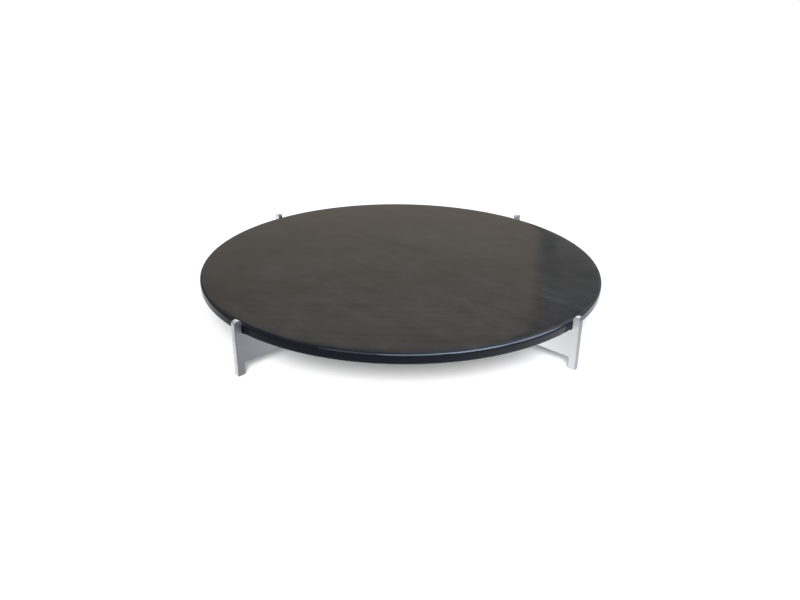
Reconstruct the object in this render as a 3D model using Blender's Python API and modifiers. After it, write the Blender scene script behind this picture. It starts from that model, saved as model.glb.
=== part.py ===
"""Round basalt slab resting on a low cross stand of two half-lapped metal plates.

Three pieces. Two flat plates stand on edge and cross under the slab, each
slotted halfway through so that one drops over the other. Every plate ends in
two narrow posts: a post runs down to the table as a foot and up past the rim of
the slab, which lies on the plates' top edges with a post just outside its rim
on four sides.

Frame: metres, +Z up, origin on the table under the centre of the slab. The
lower plate runs along X and the upper plate along Y.
"""
import math

import bmesh
import bpy

# Slab
SLAB_DIAMETER = 0.400
SLAB_THICKNESS = 0.010
UPPER_ARRIS_RADIUS = 0.0035
LOWER_ARRIS_RADIUS = 0.0015

# Stand plates
PLATE_THICKNESS = 0.005
POST_WIDTH = 0.007
POST_RISE = 0.003           # post top above the face of the slab
WEB_UNDERSIDE = 0.011       # height of the web's lower edge above the table
WEB_HEIGHT = 0.0267         # web's lower edge to the edge that carries the slab
POST_TOP_RADIUS = 0.003
POST_TOP_SHARE = 0.45       # most of the post's width that the rounding of one corner takes
SHOULDER_FILLET = 0.0018    # between the web's top edge and the post
FOOT_FILLET = 0.002         # between the web's lower edge and the foot
EDGE_EASE = 0.0004          # both long edges all round each plate

# Fits
SEAT_GAP = 0.0003           # slab to the edges that carry it
RIM_CLEARANCE = 0.0004      # slab's rim to each post
LAP_SIDE_CLEARANCE = 0.0003  # plate to each side of the slot that takes it
LAP_DEPTH_CLEARANCE = 0.0003  # between the two slots' ends

# Facets
SLAB_STEPS = 144
UPPER_ARRIS_STEPS = 5
LOWER_ARRIS_STEPS = 3
CORNER_STEPS = 6
EASE_SEGMENTS = 2

MERGE_DISTANCE = 0.00001
FLAT_ANGLE = math.radians(0.05)
EASED_ANGLE = math.radians(40)

slab_radius = SLAB_DIAMETER / 2
web_top = WEB_UNDERSIDE + WEB_HEIGHT
slab_underside = web_top + SEAT_GAP
slab_top = slab_underside + SLAB_THICKNESS
stand_height = slab_top + POST_RISE
post_inner = slab_radius + RIM_CLEARANCE
post_outer = post_inner + POST_WIDTH
post_top_radius = min(POST_TOP_RADIUS, POST_WIDTH * POST_TOP_SHARE)
slot_half = PLATE_THICKNESS / 2 + LAP_SIDE_CLEARANCE
lap_height = WEB_UNDERSIDE + WEB_HEIGHT / 2


def clear_scene():
    for item in list(bpy.data.objects):
        bpy.data.objects.remove(item, do_unlink=True)


def new_collection(name):
    collection = bpy.data.collections.new(name)
    bpy.context.scene.collection.children.link(collection)
    return collection


def finish(name, colour, roughness, metallic):
    material = bpy.data.materials.new(name)
    material.use_nodes = True
    shader = material.node_tree.nodes["Principled BSDF"]
    shader.inputs["Base Color"].default_value = (*colour, 1)
    shader.inputs["Roughness"].default_value = roughness
    shader.inputs["Metallic"].default_value = metallic
    return material


def arc(centre_x, centre_y, radius, start, end, steps):
    """Points on an arc, both ends included, from start to end in radians."""
    points = []
    for step in range(steps + 1):
        angle = start + (end - start) * step / steps
        points.append((centre_x + radius * math.cos(angle), centre_y + radius * math.sin(angle)))
    return points


def rounded_outline(corners):
    """Outline through square corners (x, y, radius), each rounded to its radius."""
    points = []
    for index, (x, y, radius) in enumerate(corners):
        if radius == 0:
            points.append((x, y))
            continue
        before = corners[index - 1]
        after = corners[(index + 1) % len(corners)]
        back = math.atan2(before[1] - y, before[0] - x)
        ahead = math.atan2(after[1] - y, after[0] - x)
        centre_x = x + radius * (math.cos(back) + math.cos(ahead))
        centre_y = y + radius * (math.sin(back) + math.sin(ahead))
        start = ahead + math.pi
        turn = (back - ahead + math.pi) % (2 * math.pi) - math.pi
        points.extend(arc(centre_x, centre_y, radius, start, start + turn, CORNER_STEPS))
    return points


def end_corners():
    """Right-hand end of a plate, from the web's lower edge round to its top edge."""
    return [
        (post_inner, WEB_UNDERSIDE, FOOT_FILLET),
        (post_inner, 0, 0),
        (post_outer, 0, 0),
        (post_outer, stand_height, post_top_radius),
        (post_inner, stand_height, post_top_radius),
        (post_inner, web_top, SHOULDER_FILLET),
    ]


def whole_outline(half):
    """Right-hand half of an outline, followed by its mirror image."""
    left = [(-x, y, radius) for x, y, radius in reversed(half)]
    return rounded_outline(half + left)


def plate_curve(name, outline):
    curve = bpy.data.curves.new(name, "CURVE")
    curve.dimensions = "2D"
    curve.fill_mode = "BOTH"
    curve.extrude = PLATE_THICKNESS / 2
    spline = curve.splines.new("POLY")
    spline.points.add(len(outline) - 1)
    for point, (x, y) in zip(spline.points, outline):
        point.co = (x, y, 0, 1)
    spline.use_cyclic_u = True
    return curve


def make_plate(name, outline, heading, material, collection, stand):
    """Flat plate on edge along the heading, its outline's x outwards and y upwards."""
    drawn = bpy.data.objects.new(name + "_outline", plate_curve(name, outline))
    collection.objects.link(drawn)
    bpy.context.view_layer.update()
    mesh = bpy.data.meshes.new_from_object(drawn.evaluated_get(bpy.context.evaluated_depsgraph_get()))
    bpy.data.objects.remove(drawn, do_unlink=True)
    solid = bmesh.new()
    solid.from_mesh(mesh)
    bmesh.ops.remove_doubles(solid, verts=solid.verts, dist=MERGE_DISTANCE)
    bmesh.ops.dissolve_limit(solid, angle_limit=FLAT_ANGLE, verts=solid.verts, edges=solid.edges)
    bmesh.ops.recalc_face_normals(solid, faces=solid.faces)
    solid.to_mesh(mesh)
    solid.free()
    mesh.name = name
    mesh.materials.append(material)
    plate = bpy.data.objects.new(name, mesh)
    plate.rotation_euler = (math.radians(90), 0, heading)
    plate.parent = stand
    collection.objects.link(plate)
    ease = plate.modifiers.new("eased_edges", "BEVEL")
    ease.width = EDGE_EASE
    ease.segments = EASE_SEGMENTS
    ease.limit_method = "ANGLE"
    ease.angle_limit = EASED_ANGLE
    return plate


def lower_plate_half():
    """Slot open at the top, from the lap's height upwards."""
    slot_floor = lap_height - LAP_DEPTH_CLEARANCE / 2
    return end_corners() + [(slot_half, web_top, 0), (slot_half, slot_floor, 0)]


def upper_plate_half():
    """Slot open at the bottom, from the lap's height downwards."""
    slot_ceiling = lap_height + LAP_DEPTH_CLEARANCE / 2
    return [(slot_half, slot_ceiling, 0), (slot_half, WEB_UNDERSIDE, 0)] + end_corners()


def make_slab(name, material, collection, stand):
    """Disc turned from its half section, which starts at the middle of the top face."""
    upper = arc(slab_radius - UPPER_ARRIS_RADIUS, SLAB_THICKNESS - UPPER_ARRIS_RADIUS,
                UPPER_ARRIS_RADIUS, math.pi / 2, 0, UPPER_ARRIS_STEPS)
    lower = arc(slab_radius - LOWER_ARRIS_RADIUS, LOWER_ARRIS_RADIUS,
                LOWER_ARRIS_RADIUS, 0, -math.pi / 2, LOWER_ARRIS_STEPS)
    section = [(0, SLAB_THICKNESS)] + upper + lower + [(0, 0)]
    profile = bmesh.new()
    points = [profile.verts.new((x, 0, z)) for x, z in section]
    for first, second in zip(points, points[1:]):
        profile.edges.new((first, second))
    mesh = bpy.data.meshes.new(name)
    profile.to_mesh(mesh)
    profile.free()
    mesh.materials.append(material)
    slab = bpy.data.objects.new(name, mesh)
    slab.location = (0, 0, slab_underside)
    slab.parent = stand
    collection.objects.link(slab)
    turn = slab.modifiers.new("turned", "SCREW")
    turn.axis = "Z"
    turn.angle = 2 * math.pi
    turn.steps = SLAB_STEPS
    turn.render_steps = SLAB_STEPS
    turn.use_merge_vertices = True
    turn.merge_threshold = MERGE_DISTANCE
    turn.use_smooth_shade = True
    return slab


clear_scene()
parts = new_collection("stone_slab_on_cross_stand")
basalt = finish("basalt", (0.024, 0.023, 0.021), 0.12, 0)
steel_lower = finish("steel_lower", (0.60, 0.61, 0.63), 0.34, 1)
steel_upper = finish("steel_upper", (0.60, 0.61, 0.63), 0.34, 1)

cross_stand = bpy.data.objects.new("cross_stand", None)
parts.objects.link(cross_stand)
make_plate("lower_cross_plate", whole_outline(lower_plate_half()), 0, steel_lower, parts, cross_stand)
make_plate("upper_cross_plate", whole_outline(upper_plate_half()), math.radians(90),
           steel_upper, parts, cross_stand)
make_slab("stone_slab", basalt, parts, cross_stand)
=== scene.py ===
"""Round polished basalt slab on a cross stand of two half-lapped metal plates.

The slab and both plates are modelled here in full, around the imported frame: the
slab as a turned disc with rounded arrises, and each plate as a cut outline with
rounded corners and eased edges. Metres, +Z up, the lower plate along X.
"""

import math

import bmesh
import bpy
from mathutils import Matrix, Vector, noise


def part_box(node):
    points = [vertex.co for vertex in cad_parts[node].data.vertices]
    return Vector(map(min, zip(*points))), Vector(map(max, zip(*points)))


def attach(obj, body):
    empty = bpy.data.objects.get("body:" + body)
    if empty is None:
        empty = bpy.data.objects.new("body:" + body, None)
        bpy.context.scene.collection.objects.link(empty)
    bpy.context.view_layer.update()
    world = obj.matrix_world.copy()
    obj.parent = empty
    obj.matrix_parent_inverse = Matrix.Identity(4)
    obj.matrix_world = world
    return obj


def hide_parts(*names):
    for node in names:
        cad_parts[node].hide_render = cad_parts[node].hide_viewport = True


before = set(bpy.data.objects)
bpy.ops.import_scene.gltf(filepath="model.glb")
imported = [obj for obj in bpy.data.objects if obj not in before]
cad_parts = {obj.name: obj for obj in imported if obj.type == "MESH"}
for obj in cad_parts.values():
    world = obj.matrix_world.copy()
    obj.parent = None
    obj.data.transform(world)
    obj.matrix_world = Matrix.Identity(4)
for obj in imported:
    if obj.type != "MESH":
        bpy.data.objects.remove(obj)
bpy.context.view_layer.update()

# Sizes the frame gives
slab_low, slab_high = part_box("stone_slab")
lower_low, lower_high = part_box("lower_cross_plate")
SLAB_RADIUS = slab_high.x
SLAB_TOP = slab_high.z
SLAB_UNDERSIDE = slab_low.z
SLAB_MIDDLE = (SLAB_TOP + SLAB_UNDERSIDE) / 2
PLATE_REACH = lower_high.x
PLATE_THICKNESS = lower_high.y - lower_low.y
STAND_HEIGHT = lower_high.z

# Slab
ARRIS_RADIUS = 0.0035
LOWER_ARRIS_RADIUS = 0.0015
ROLL_WIDTH = 0.007          # the polished face falls away over this width, inside its arris
ROLL_DROP = 0.0003
RIM_WAVES = ((0.00007, 45), (0.00003, 240))  # unevenness of the rim: depth and noise scale
SLAB_STEPS = 320
ARRIS_SEGMENTS = 14
LOWER_ARRIS_SEGMENTS = 6
FACE_RINGS = (0.001, 0.0012, 0.0014, 0.0016, 0.0018, 0.02, 0.06)  # their widths, from the arris in
SLAB_FLAT_AREA = 0.001      # faces of this area and up are shaded flat

# Stand plates
SEAT_GAP = 0.0003
POST_WIDTH = 0.007
WEB_UNDERSIDE = 0.011
SLOT_CLEARANCE = 0.0003
POST_TOP_RADIUS = 0.003
SHOULDER_FILLET = 0.0018
FOOT_FILLET = 0.002
TOE_RADIUS = 0.0006         # corners of the feet, and of the slots' mouths
EDGE_EASE = 0.0005
CORNER_SEGMENTS = 10
TOE_SEGMENTS = 3
EASE_SEGMENTS = 3
PLATE_FLAT_AREA = 0.0012
WEB_TOP = SLAB_UNDERSIDE - SEAT_GAP
POST_INNER = PLATE_REACH - POST_WIDTH
LAP_HEIGHT = (WEB_UNDERSIDE + WEB_TOP) / 2
SLOT_HALF = PLATE_THICKNESS / 2 + SLOT_CLEARANCE

# Finishes, and a painted shade for the slab's rim
GRAIN_HEADING = math.radians(42.5)      # of the stone's long streaks, from X
CROSS_STREAK_TURN = math.radians(-0.5)  # of their pattern only, as the cross streaks run along X
SAW_PIVOT = (0.52, -0.31, 0)            # moves the centre of the saw's arcs off the slab
SAW_WAVES = 2300                        # radians a metre
POLISHED_TONE = 0.76
SAWN_TONE = 0.8
STEEL_TONE = 0.97
POLISHED_ROUGHNESS = 0.085
SAWN_ROUGHNESS = 0.62
STEEL_ROUGHNESS = 0.43
BUMP_DEPTH = 0.001
OLIVE_BASALT = (0.0246, 0.0243, 0.0210, 1)
BROWN_BASALT = (0.0266, 0.0237, 0.0214, 1)
# Painted shade and painted reflection: the stone's colour made darker for the rim, and bluer for the window
# light it reflects
RIM_PAINTED_SHADE = (0.0062, 0.0074, 0.0110, 1)
SAWN_BASALT = (0.105, 0.104, 0.100, 1)
STEEL = (0.60, 0.603, 0.61, 1)

# Camera: how far back and how high it stands, and how it is turned
VIEW_HEADING = math.radians(42.5)
CAMERA_BACK = 0.6843
CAMERA_HEIGHT = 0.3142
CAMERA_PITCH = math.radians(22.84)
CAMERA_YAW = math.radians(4.09)
CAMERA_ROLL = math.radians(2.27)
SENSOR_WIDTH = 36.0
FOCAL_LENGTH = 32.03
CAMERA_SHIFT = (-0.0642, -0.0243)
CLIP_START = 0.01
CLIP_END = 200

# Table
TABLE_RADIUS = 30
TABLE_STEPS = 96
TABLE_WHITE = (0.86, 0.86, 0.86, 1)
TABLE_GLOW = 0.05
DIM_BOUNCE = (0.205, 0.22, 0.25, 1)
BRIGHT_BOUNCE = (1.0, 1.02, 1.05, 1)
PATCH_FRONT = (-0.32, 0.0)   # from the camera's side, where the bright patch starts and is full
PATCH_REACH = (0.29, 0.36)   # from the middle, where it begins to fade and is gone

# Room. Each pair is where a change starts and ends. Turns are to the right of straight
# ahead, in radians, and the rest are the parts of a unit direction.
WARM_TURN = (-0.4, -0.05)
CORNER_TURN = (math.radians(11.0), math.radians(11.9))
DOOR_TURN = (math.radians(13.3), math.radians(12.4))
DOOR_TOP = (0.40, 0.33)
GREY_WALL_RISE = (0.27, 0.48)
SIDE_WALL_END = (-0.1, 0.3)
CEILING_EDGE = (0.50, 0.68)
CEILING_LEFT_TO_RIGHT = (-0.2, 0.3)
SKIRTING_TOP = (0.12, 0.22)
SKIRTING_LEFT_TO_RIGHT = (-0.2, 0.5)
LEFT_WALL = (0.365, 0.317, 0.266, 1)
WARM_WALL = (0.45, 0.387, 0.326, 1)
GREY_WALL = (0.335, 0.325, 0.315, 1)
GREY_WALL_TOP = (0.20, 0.193, 0.192, 1)
DOOR = (0.20, 0.194, 0.194, 1)
SIDE_WALLS = (0.22, 0.22, 0.24, 1)
LEFT_CEILING = (0.08, 0.09, 0.11, 1)
RIGHT_CEILING = (0.50, 0.60, 0.80, 1)
LEFT_SKIRTING = (0.05, 0.06, 0.07, 1)
RIGHT_SKIRTING = (0.34, 0.34, 0.36, 1)
BACKDROP = (1, 1, 1, 1)
BACKDROP_GLOW = 1.05

# Window behind the camera: each pane's turn to the right in degrees, its power and its height
WINDOW_REACH = 1.12
PANE_WIDTH = 0.70
PANE_HEIGHT = 0.85
PANE_COLOUR = (0.70, 0.82, 1.0)
WINDOW_PANES = (
    (-30, 2.8, 1.08),
    (5, 10.0, 1.05),
    (40, 15.6, 0.98),
    (75, 10.2, 0.82),
    (108, 1.1, 0.70),
)

# Other lights: name, where it comes from (across, away, up), strength and spread in degrees
SIDE_LIGHT = ("side_light", (-0.88, 0.12, -0.44), 0.8, 50)
STAND_LIGHTS = (
    ("overhead_light", (-0.6, -0.2, 1.0), 1.2, 50),
    ("back_light", (0.1, 1.0, 0.7), 1.3, 60),
)
TABLE_LIGHTS = (
    ("table_light", (0, -1.4, 1.0), 4.6, 26),
    ("table_light_left", (-0.7, -1.4, 1.0), 0.6, 26),
    ("table_light_right", (0.7, -1.4, 1.0), 0.6, 26),
)


# ---------------------------------------------------------------- node maths

class Wire:
    """One output in a node tree. Arithmetic on it adds Math nodes there."""

    def __init__(self, nodes, socket):
        self.nodes = nodes
        self.socket = socket

    def __add__(self, other):
        return self.nodes.math("ADD", self, other)

    def __radd__(self, other):
        return self.nodes.math("ADD", other, self)

    def __sub__(self, other):
        return self.nodes.math("SUBTRACT", self, other)

    def __rsub__(self, other):
        return self.nodes.math("SUBTRACT", other, self)

    def __mul__(self, other):
        return self.nodes.math("MULTIPLY", self, other)

    def __rmul__(self, other):
        return self.nodes.math("MULTIPLY", other, self)

    def __abs__(self):
        return self.nodes.math("ABSOLUTE", self)


class Nodes:
    """A node tree, started empty. Its add method makes every node."""

    def __init__(self, tree):
        self.tree = tree
        tree.nodes.clear()

    def add(self, kind, settings=None, sockets=None, output=None):
        """Add a node and give its output, or nothing where it has none."""
        node = self.tree.nodes.new("ShaderNode" + kind)
        for name, value in (settings or {}).items():
            setattr(node, name, value)
        for name, value in (sockets or {}).items():
            socket = node.inputs[name] if isinstance(name, int) else open_socket(node.inputs, name)
            if isinstance(value, Wire):
                self.tree.links.new(value.socket, socket)
            else:
                socket.default_value = value
        return Wire(self, open_socket(node.outputs, output)) if len(node.outputs) else None

    def math(self, operation, *values):
        return self.add("Math", {"operation": operation}, dict(enumerate(values)))

    def position(self):
        return self.add("TexCoord", output="Object")

    def turned(self, vector, turn=0.0, scale=(1, 1, 1), place=(0, 0, 0)):
        """The vector scaled, then turned about Z, then moved."""
        sockets = {"Vector": vector, "Rotation": (0, 0, turn), "Scale": scale, "Location": place}
        return self.add("Mapping", {}, sockets)

    def split(self, vector):
        node = self.add("SeparateXYZ", {}, {"Vector": vector}).socket.node
        return [Wire(self, socket) for socket in node.outputs]

    def reach(self, x, y):
        return self.math("SQRT", x * x + y * y)

    def noise(self, vector, scale, detail=2.0, rough=0.5, warp=0.0):
        sockets = {"Vector": vector, "Scale": scale, "Detail": detail, "Roughness": rough, "Distortion": warp}
        return self.add("TexNoise", {}, sockets, "Fac")

    def ease(self, value, low, high, start=0.0, end=1.0):
        """Smooth step from start, at low, to end, at high."""
        sockets = {"Value": value, "From Min": low, "From Max": high, "To Min": start, "To Max": end}
        return self.add("MapRange", {"interpolation_type": "SMOOTHSTEP"}, sockets)

    def blend(self, share, first, second, how="MIX"):
        sockets = {"Factor": share, "A": first, "B": second}
        return self.add("Mix", {"data_type": "RGBA", "blend_type": how}, sockets)

    def toned(self, colour, tone):
        """The colour times a number that changes over the surface."""
        grey = self.add("CombineColor", {}, {"Red": tone, "Green": tone, "Blue": tone})
        return self.blend(1.0, colour, grey, "MULTIPLY")

    def bump(self, relief):
        return self.add("Bump", {}, {"Strength": 1.0, "Distance": BUMP_DEPTH, "Height": relief})

    def for_camera(self, shown, given):
        """Shown to the camera, while the pieces are lit by what is given."""
        camera_ray = self.add("LightPath", output="Is Camera Ray")
        return self.add("MixShader", {}, {0: camera_ray, 1: given, 2: shown})


def open_socket(sockets, name):
    """The first socket in use, or the first one in use that has the name."""
    for socket in sockets:
        if socket.enabled and (name is None or socket.name == name):
            return socket
    raise KeyError(name)


def swing(pattern, amount):
    """A noise pattern, 0 to 1, as a change of up to half the amount down or up."""
    return (pattern - 0.5) * amount


def new_material(name, build):
    """Material whose surface is what build(nodes) returns the Principled sockets of."""
    material = bpy.data.materials.new(name)
    material.use_nodes = True
    nodes = Nodes(material.node_tree)
    surface = nodes.add("BsdfPrincipled", {}, build(nodes))
    nodes.add("OutputMaterial", {}, {"Surface": surface})
    return material


# ---------------------------------------------------------------- materials

def saw_arcs(nodes, place):
    """Wavy arcs that the saw leaves, swept about a point off the slab, from -1 to 1."""
    x, y, _ = nodes.split(nodes.turned(place, place=SAW_PIVOT))
    waver = nodes.noise(place, 14.0) * 9
    return nodes.math("SINE", nodes.reach(x, y) * SAW_WAVES + waver)


def thin_veins(nodes, place, streaked):
    """A few faint veins, where a stretched pattern passes its middle value."""
    pattern = nodes.noise(streaked, 0.45, detail=3.0, rough=0.55, warp=0.8)
    lines = nodes.ease(abs(pattern - 0.5), 0.0, 0.012, 1.0, 0.0)
    return lines * nodes.ease(nodes.noise(place, 15.0, detail=1.0), 0.52, 0.66)


def basalt_surface(nodes):
    """Black basalt, its face and rim polished and its underside left as sawn."""
    place = nodes.position()
    x, y, z = nodes.split(place)
    along = nodes.turned(place, -GRAIN_HEADING)
    streaked = nodes.turned(place, CROSS_STREAK_TURN, scale=(11, 95, 95))

    cloud = nodes.noise(place, 11.0, detail=4.0, rough=0.55, warp=0.4)
    mottle = nodes.noise(place, 46.0, detail=5.0, rough=0.62)
    tint = nodes.noise(nodes.turned(place, place=(3.1, 1.7, 0)), 17.0)
    crystal = nodes.noise(place, 900.0, rough=0.7)
    lines = nodes.noise(nodes.turned(along, scale=(7, 330, 330)), 1.0, detail=3.0, rough=0.6)
    streaks = nodes.noise(streaked, 1.0, detail=4.0, rough=0.6, warp=0.5)
    smear = nodes.noise(nodes.turned(along, scale=(1, 2.6, 1)), 16.0, detail=3.0, rough=0.6, warp=0.6)
    veins = thin_veins(nodes, place, streaked)
    saw_marks = saw_arcs(nodes, place)

    rim_start = SLAB_RADIUS - ARRIS_RADIUS * 0.8
    rim_share = nodes.ease(nodes.reach(x, y), rim_start, SLAB_RADIUS - ARRIS_RADIUS * 0.1)
    saw_start = SLAB_UNDERSIDE + LOWER_ARRIS_RADIUS * 0.6
    sawn_share = nodes.ease(z, saw_start, SLAB_UNDERSIDE + LOWER_ARRIS_RADIUS * 0.1)

    tone = POLISHED_TONE + swing(cloud, 0.8) + swing(mottle, 1.0) + swing(lines, 1.0)
    tone = tone + swing(streaks, 0.8) + swing(crystal, 1.0) + veins * 0.35
    face = nodes.toned(nodes.blend(nodes.ease(tint, 0.38, 0.62), OLIVE_BASALT, BROWN_BASALT), tone)
    # Painted shade: the rim and arris take a darker, bluer copy of the stone's colour, a painted shade with a
    # painted bluish reflection
    polished = nodes.blend(rim_share, face, RIM_PAINTED_SHADE)
    sawn_tone = SAWN_TONE + saw_marks * 0.06 + swing(mottle, 0.7) + swing(crystal, 0.8)
    sawn = nodes.toned(SAWN_BASALT, sawn_tone)

    gloss = POLISHED_ROUGHNESS + nodes.ease(smear, 0.40, 0.75) * 0.05 + swing(crystal, 0.04)
    gloss = gloss + veins * 0.12 + rim_share * 0.04
    roughness = gloss + sawn_share * (SAWN_ROUGHNESS - gloss)
    relief = swing(crystal, 0.004) + swing(lines, 0.004) - veins * 0.004 + swing(cloud, 0.05)
    relief = relief + sawn_share * (saw_marks * 0.02 + swing(crystal, 0.05))
    return {
        "Base Color": nodes.blend(sawn_share, polished, sawn),
        "Roughness": roughness,
        "Normal": nodes.bump(relief),
        "Specular IOR Level": 0.5,
    }


def plate_surface(heading):
    """Satin steel plate, brushed along its length, with deburred cut edges."""
    def build(nodes):
        place = nodes.turned(nodes.position(), -heading)
        _, depth, _ = nodes.split(place)
        brushed = nodes.noise(nodes.turned(place, scale=(22, 2600, 2600)), 1.0, detail=3.0, rough=0.65)
        hair = nodes.noise(nodes.turned(place, scale=(60, 6000, 6000)), 1.0, rough=0.6)
        cut = nodes.noise(nodes.turned(place, scale=(2400, 90, 2400)), 1.0, rough=0.6)
        cloud = nodes.noise(place, 26.0, detail=3.0, rough=0.55)
        edge_start = PLATE_THICKNESS / 2 - EDGE_EASE * 0.9
        edge_share = nodes.ease(abs(depth), edge_start, PLATE_THICKNESS / 2 - EDGE_EASE * 0.2, 1.0, 0.0)
        grain = brushed + edge_share * (cut - brushed)
        tone = STEEL_TONE + swing(grain, 0.22) + swing(hair, 0.10) + swing(cloud, 0.10)
        tone = tone - edge_share * 0.03
        roughness = STEEL_ROUGHNESS + swing(grain, 0.18) + nodes.ease(cloud, 0.42, 0.66) * 0.08
        roughness = roughness + edge_share * 0.06
        relief = swing(brushed, 0.010) + edge_share * swing(cut, 0.012)
        return {
            "Base Color": nodes.toned(STEEL, tone),
            "Roughness": roughness,
            "Metallic": 1.0,
            "Normal": nodes.bump(relief),
        }
    return build


def light_table():
    """White table, clear from below. The pieces see it dim, but for a bright patch under the stand."""
    material = bpy.data.materials.new("light_table")
    material.use_nodes = True
    nodes = Nodes(material.node_tree)
    paper = nodes.add("BsdfPrincipled", {}, {
        "Base Color": TABLE_WHITE,
        "Roughness": 0.9,
        "Specular IOR Level": 0.0,
        "Emission Color": (1, 1, 1, 1),
        "Emission Strength": TABLE_GLOW,
    })
    across, away, _ = nodes.split(nodes.turned(nodes.position(), -VIEW_HEADING))
    fade = nodes.ease(nodes.reach(across, away), *PATCH_REACH, 1.0, 0.0)
    patch = nodes.ease(away + across * 0.5, *PATCH_FRONT) * fade
    bounce = nodes.blend(patch, DIM_BOUNCE, BRIGHT_BOUNCE)
    given = nodes.add("Emission", {}, {"Color": bounce, "Strength": 1.0})
    surface = nodes.for_camera(paper, given)
    from_below = nodes.add("NewGeometry", output="Backfacing")
    clear = nodes.add("BsdfTransparent")
    table = nodes.add("MixShader", {}, {0: from_below, 1: surface, 2: clear})
    nodes.add("OutputMaterial", {}, {"Surface": table})
    return material


# ---------------------------------------------------------------- mesh helpers

def add_object(name, data):
    item = bpy.data.objects.new(name, data)
    bpy.context.scene.collection.objects.link(item)
    return item


def finished_piece(name, bm, material, flat_area):
    """Object from a finished mesh. Faces of the flat area and up are shaded flat."""
    bmesh.ops.recalc_face_normals(bm, faces=bm.faces)
    for face in bm.faces:
        face.smooth = face.calc_area() < flat_area
    mesh = bpy.data.meshes.new(name)
    bm.to_mesh(mesh)
    bm.free()
    mesh.materials.append(material)
    return add_object(name, mesh)


def round_corner(bm, corner, radius, segments):
    bmesh.ops.bevel(bm, geom=[corner], offset=radius, offset_type="OFFSET", segments=segments,
                    profile=0.5, affect="VERTICES", material=-1)


def ease_edges(bm, edges, width, segments):
    bmesh.ops.bevel(bm, geom=edges, offset=width, offset_type="OFFSET", segments=segments,
                    profile=0.5, affect="EDGES", material=-1)


def many_sided(bm):
    """The flat ends of the disc, or the two sides of a plate."""
    return [face for face in bm.faces if len(face.verts) > 4]


# ---------------------------------------------------------------- slab

def roll_off(bm):
    """Let the upper face fall away towards its arris, as hand polishing leaves it."""
    roll_start = SLAB_RADIUS - ARRIS_RADIUS - ROLL_WIDTH
    for vert in bm.verts:
        past = vert.co.to_2d().length - roll_start
        if past > 0 and vert.co.z > SLAB_MIDDLE:
            share = min(past / ROLL_WIDTH, 1)
            vert.co.z -= ROLL_DROP * share * share * (vert.co.z - SLAB_MIDDLE) / (SLAB_TOP - SLAB_MIDDLE)


def wear_rim(bm):
    """Take a very little off the rim, unevenly and always inwards."""
    for vert in bm.verts:
        reach = vert.co.to_2d().length
        if reach > SLAB_RADIUS - ARRIS_RADIUS * 1.01:
            worn = sum(depth * (noise.noise(vert.co * scale) * 0.5 + 0.5) for depth, scale in RIM_WAVES)
            vert.co.xy *= (reach - worn) / reach


def turned_slab(material):
    """Disc with both arrises rounded, its faces cut into rings inside them.

    The rings carry the roll-off, and keep the shading of the flat middle true.
    """
    bm = bmesh.new()
    bmesh.ops.create_cone(bm, cap_ends=True, segments=SLAB_STEPS, radius1=SLAB_RADIUS, radius2=SLAB_RADIUS,
                          depth=SLAB_TOP - SLAB_UNDERSIDE, matrix=Matrix.Translation((0, 0, SLAB_MIDDLE)))
    rims = [edge for edge in bm.edges if len(edge.link_faces[0].verts) != len(edge.link_faces[1].verts)]
    upper = [edge for edge in rims if edge.verts[0].co.z > SLAB_MIDDLE]
    lower = [edge for edge in rims if edge.verts[0].co.z < SLAB_MIDDLE]
    ease_edges(bm, upper, ARRIS_RADIUS, ARRIS_SEGMENTS)
    ease_edges(bm, lower, LOWER_ARRIS_RADIUS, LOWER_ARRIS_SEGMENTS)
    caps = many_sided(bm)
    for width in FACE_RINGS:
        bmesh.ops.inset_region(bm, faces=caps, thickness=width, use_even_offset=True)
    roll_off(bm)
    wear_rim(bm)
    return finished_piece("basalt_slab", bm, material, SLAB_FLAT_AREA)


# ---------------------------------------------------------------- stand

def end_corners():
    """Corners of a plate's end, web's lower edge to web's top edge: x, z, radius."""
    return [
        (POST_INNER, WEB_UNDERSIDE, FOOT_FILLET),
        (POST_INNER, 0, TOE_RADIUS),
        (PLATE_REACH, 0, TOE_RADIUS),
        (PLATE_REACH, STAND_HEIGHT, POST_TOP_RADIUS),
        (POST_INNER, STAND_HEIGHT, POST_TOP_RADIUS),
        (POST_INNER, WEB_TOP, SHOULDER_FILLET),
    ]


def slot_corners(mouth, end):
    """Half of the slot that takes the other plate, from its mouth to its end."""
    return [(SLOT_HALF, mouth, TOE_RADIUS), (SLOT_HALF, end, 0)]


def cut_plate(name, half, heading, material):
    """Plate on edge: half an outline and its mirror image, cut out and its edges eased."""
    corners = half + [(-x, z, radius) for x, z, radius in reversed(half)]
    bm = bmesh.new()
    points = [bm.verts.new((x, -PLATE_THICKNESS / 2, z)) for x, z, _ in corners]
    bm.faces.new(points)
    for point, (_, _, radius) in zip(points, corners):
        if radius:
            round_corner(bm, point, radius, TOE_SEGMENTS if radius == TOE_RADIUS else CORNER_SEGMENTS)
    grown = bmesh.ops.extrude_face_region(bm, geom=bm.faces[:])
    moved = [item for item in grown["geom"] if isinstance(item, bmesh.types.BMVert)]
    bmesh.ops.translate(bm, verts=moved, vec=(0, PLATE_THICKNESS, 0))
    outlines = [edge for side in many_sided(bm) for edge in side.edges]
    ease_edges(bm, outlines, EDGE_EASE, EASE_SEGMENTS)
    bmesh.ops.rotate(bm, cent=(0, 0, 0), matrix=Matrix.Rotation(heading, 3, "Z"), verts=bm.verts)
    return finished_piece(name, bm, material, PLATE_FLAT_AREA)


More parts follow.
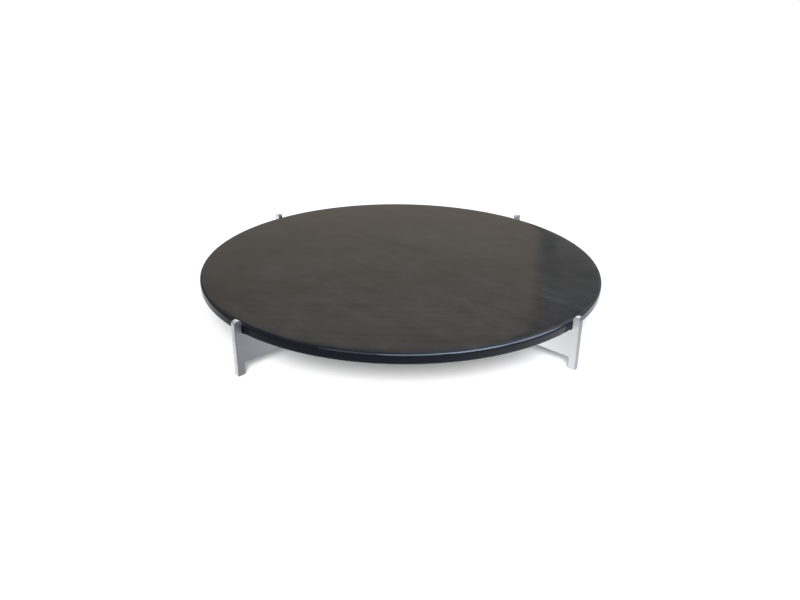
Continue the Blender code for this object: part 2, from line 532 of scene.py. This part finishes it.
def build_stand():
    slot_end_gap = SLOT_CLEARANCE / 2
    lower_half = end_corners() + slot_corners(WEB_TOP, LAP_HEIGHT - slot_end_gap)
    upper_half = slot_corners(WEB_UNDERSIDE, LAP_HEIGHT + slot_end_gap)[::-1] + end_corners()
    plates = (
        ("lower_stand_plate", "lower_cross_plate", "lower_plate", lower_half, 0.0),
        ("upper_stand_plate", "upper_cross_plate", "upper_plate", upper_half, math.pi / 2),
    )
    made = []
    for name, node, body, half, heading in plates:
        material = new_material(name + "_steel", plate_surface(heading))
        plate = cut_plate(name, half, heading, material)
        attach(plate, body)
        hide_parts(node)
        made.append(plate)
    return made


# ---------------------------------------------------------------- studio

def camera_frame():
    """Right, forward and up on the table, as the camera stands."""
    forward = Vector((-math.sin(VIEW_HEADING), math.cos(VIEW_HEADING), 0))
    right = Vector((math.cos(VIEW_HEADING), math.sin(VIEW_HEADING), 0))
    return right, forward, Vector((0, 0, 1))


def in_view_frame(across, away, height):
    """Place to the right of, past and above the middle of the table, as the camera stands."""
    right, forward, up = camera_frame()
    return right * across + forward * away + up * height


def place_camera():
    right, forward, up = camera_frame()
    ahead = forward * math.cos(CAMERA_YAW) + right * math.sin(CAMERA_YAW)
    side = right * math.cos(CAMERA_YAW) - forward * math.sin(CAMERA_YAW)
    look = ahead * math.cos(CAMERA_PITCH) - up * math.sin(CAMERA_PITCH)
    top = side.cross(look)
    rolled_side = side * math.cos(CAMERA_ROLL) + top * math.sin(CAMERA_ROLL)
    rolled_top = top * math.cos(CAMERA_ROLL) - side * math.sin(CAMERA_ROLL)
    lens = bpy.data.cameras.new("camera")
    lens.sensor_width = SENSOR_WIDTH
    lens.lens = FOCAL_LENGTH
    lens.shift_x, lens.shift_y = CAMERA_SHIFT
    lens.clip_start = CLIP_START
    lens.clip_end = CLIP_END
    camera = add_object("camera", lens)
    turn = Matrix((rolled_side, rolled_top, -look)).transposed().to_4x4()
    camera.matrix_world = Matrix.Translation(in_view_frame(0, -CAMERA_BACK, CAMERA_HEIGHT)) @ turn
    bpy.context.scene.camera = camera


def light_group(name, pieces):
    group = bpy.data.collections.new(name)
    for piece in pieces:
        group.objects.link(piece)
    return group


def add_light(name, kind, place, settings, receivers, blockers=None):
    """Light aimed at the middle of the table. It lights the receivers and nothing else.

    Where blockers are given, only they shade it.
    """
    lamp = bpy.data.lights.new(name, kind)
    for key, value in settings.items():
        setattr(lamp, key, value)
    light = add_object(name, lamp)
    spot = in_view_frame(*place)
    light.matrix_world = Matrix.Translation(spot) @ spot.to_track_quat("Z", "Y").to_matrix().to_4x4()
    light.visible_camera = False
    light.light_linking.receiver_collection = light_group(name + "_receivers", receivers)
    if blockers:
        light.light_linking.blocker_collection = light_group(name + "_blockers", blockers)


def add_far_light(name, place, strength, spread, receivers, blockers=None):
    settings = {"energy": strength, "angle": math.radians(spread)}
    add_light(name, "SUN", place, settings, receivers, blockers)


def add_window(slab):
    """Panes in an arc behind the camera. The posts don't shade the slab from them."""
    for pane, (turn, power, height) in enumerate(WINDOW_PANES):
        across = WINDOW_REACH * math.sin(math.radians(turn))
        toward = WINDOW_REACH * math.cos(math.radians(turn))
        settings = {
            "shape": "RECTANGLE",
            "size": PANE_WIDTH,
            "size_y": PANE_HEIGHT,
            "energy": power,
            "color": PANE_COLOUR,
        }
        add_light(f"window_pane_{pane}", "AREA", (across, -toward, height), settings, [slab], [slab])


def dim_room():
    """Room that the pieces see: a warm wall beyond them, grey past its corner. The camera sees white."""
    world = bpy.data.worlds.new("room")
    world.use_nodes = True
    bpy.context.scene.world = world
    nodes = Nodes(world.node_tree)
    direction = nodes.add("TexCoord", output="Generated")
    x, y, z = nodes.split(nodes.turned(direction, -VIEW_HEADING))
    turn = nodes.math("ARCTAN2", x, y)
    warm_wall = nodes.blend(nodes.ease(turn, *WARM_TURN), LEFT_WALL, WARM_WALL)
    grey_wall = nodes.blend(nodes.ease(z, *GREY_WALL_RISE), GREY_WALL, GREY_WALL_TOP)
    door_share = nodes.ease(turn, *DOOR_TURN) * nodes.ease(z, *DOOR_TOP)
    grey_wall = nodes.blend(door_share, grey_wall, DOOR)
    wall = nodes.blend(nodes.ease(turn, *CORNER_TURN), warm_wall, grey_wall)
    walls = nodes.blend(nodes.ease(y, *SIDE_WALL_END), SIDE_WALLS, wall)
    ceiling = nodes.blend(nodes.ease(x, *CEILING_LEFT_TO_RIGHT), LEFT_CEILING, RIGHT_CEILING)
    skirting = nodes.blend(nodes.ease(x, *SKIRTING_LEFT_TO_RIGHT), LEFT_SKIRTING, RIGHT_SKIRTING)
    room = nodes.blend(nodes.ease(z, *CEILING_EDGE), walls, ceiling)
    room = nodes.blend(nodes.ease(z, *SKIRTING_TOP), skirting, room)
    given = nodes.add("Background", {}, {"Color": room, "Strength": 1.0})
    backdrop = nodes.add("Background", {}, {"Color": BACKDROP, "Strength": BACKDROP_GLOW})
    nodes.add("OutputWorld", {}, {"Surface": nodes.for_camera(backdrop, given)})


def place_table():
    bm = bmesh.new()
    bmesh.ops.create_circle(bm, cap_ends=True, segments=TABLE_STEPS, radius=TABLE_RADIUS)
    mesh = bpy.data.meshes.new("table_top")
    bm.to_mesh(mesh)
    bm.free()
    mesh.materials.append(light_table())
    table_top = add_object("table_top", mesh)
    return table_top


def build_studio(slab, stand):
    place_camera()
    dim_room()
    table_top = place_table()
    add_window(slab)
    # This one comes from below the table's level, so only the stand shades it.
    add_far_light(*SIDE_LIGHT, stand, stand)
    for light in STAND_LIGHTS:
        add_far_light(*light, stand)
    for light in TABLE_LIGHTS:
        add_far_light(*light, [table_top])
    bpy.context.scene.view_settings.view_transform = "Standard"


slab = turned_slab(new_material("polished_basalt", basalt_surface))
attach(slab, "slab")
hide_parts("stone_slab")
stand_plates = build_stand()
build_studio(slab, stand_plates)
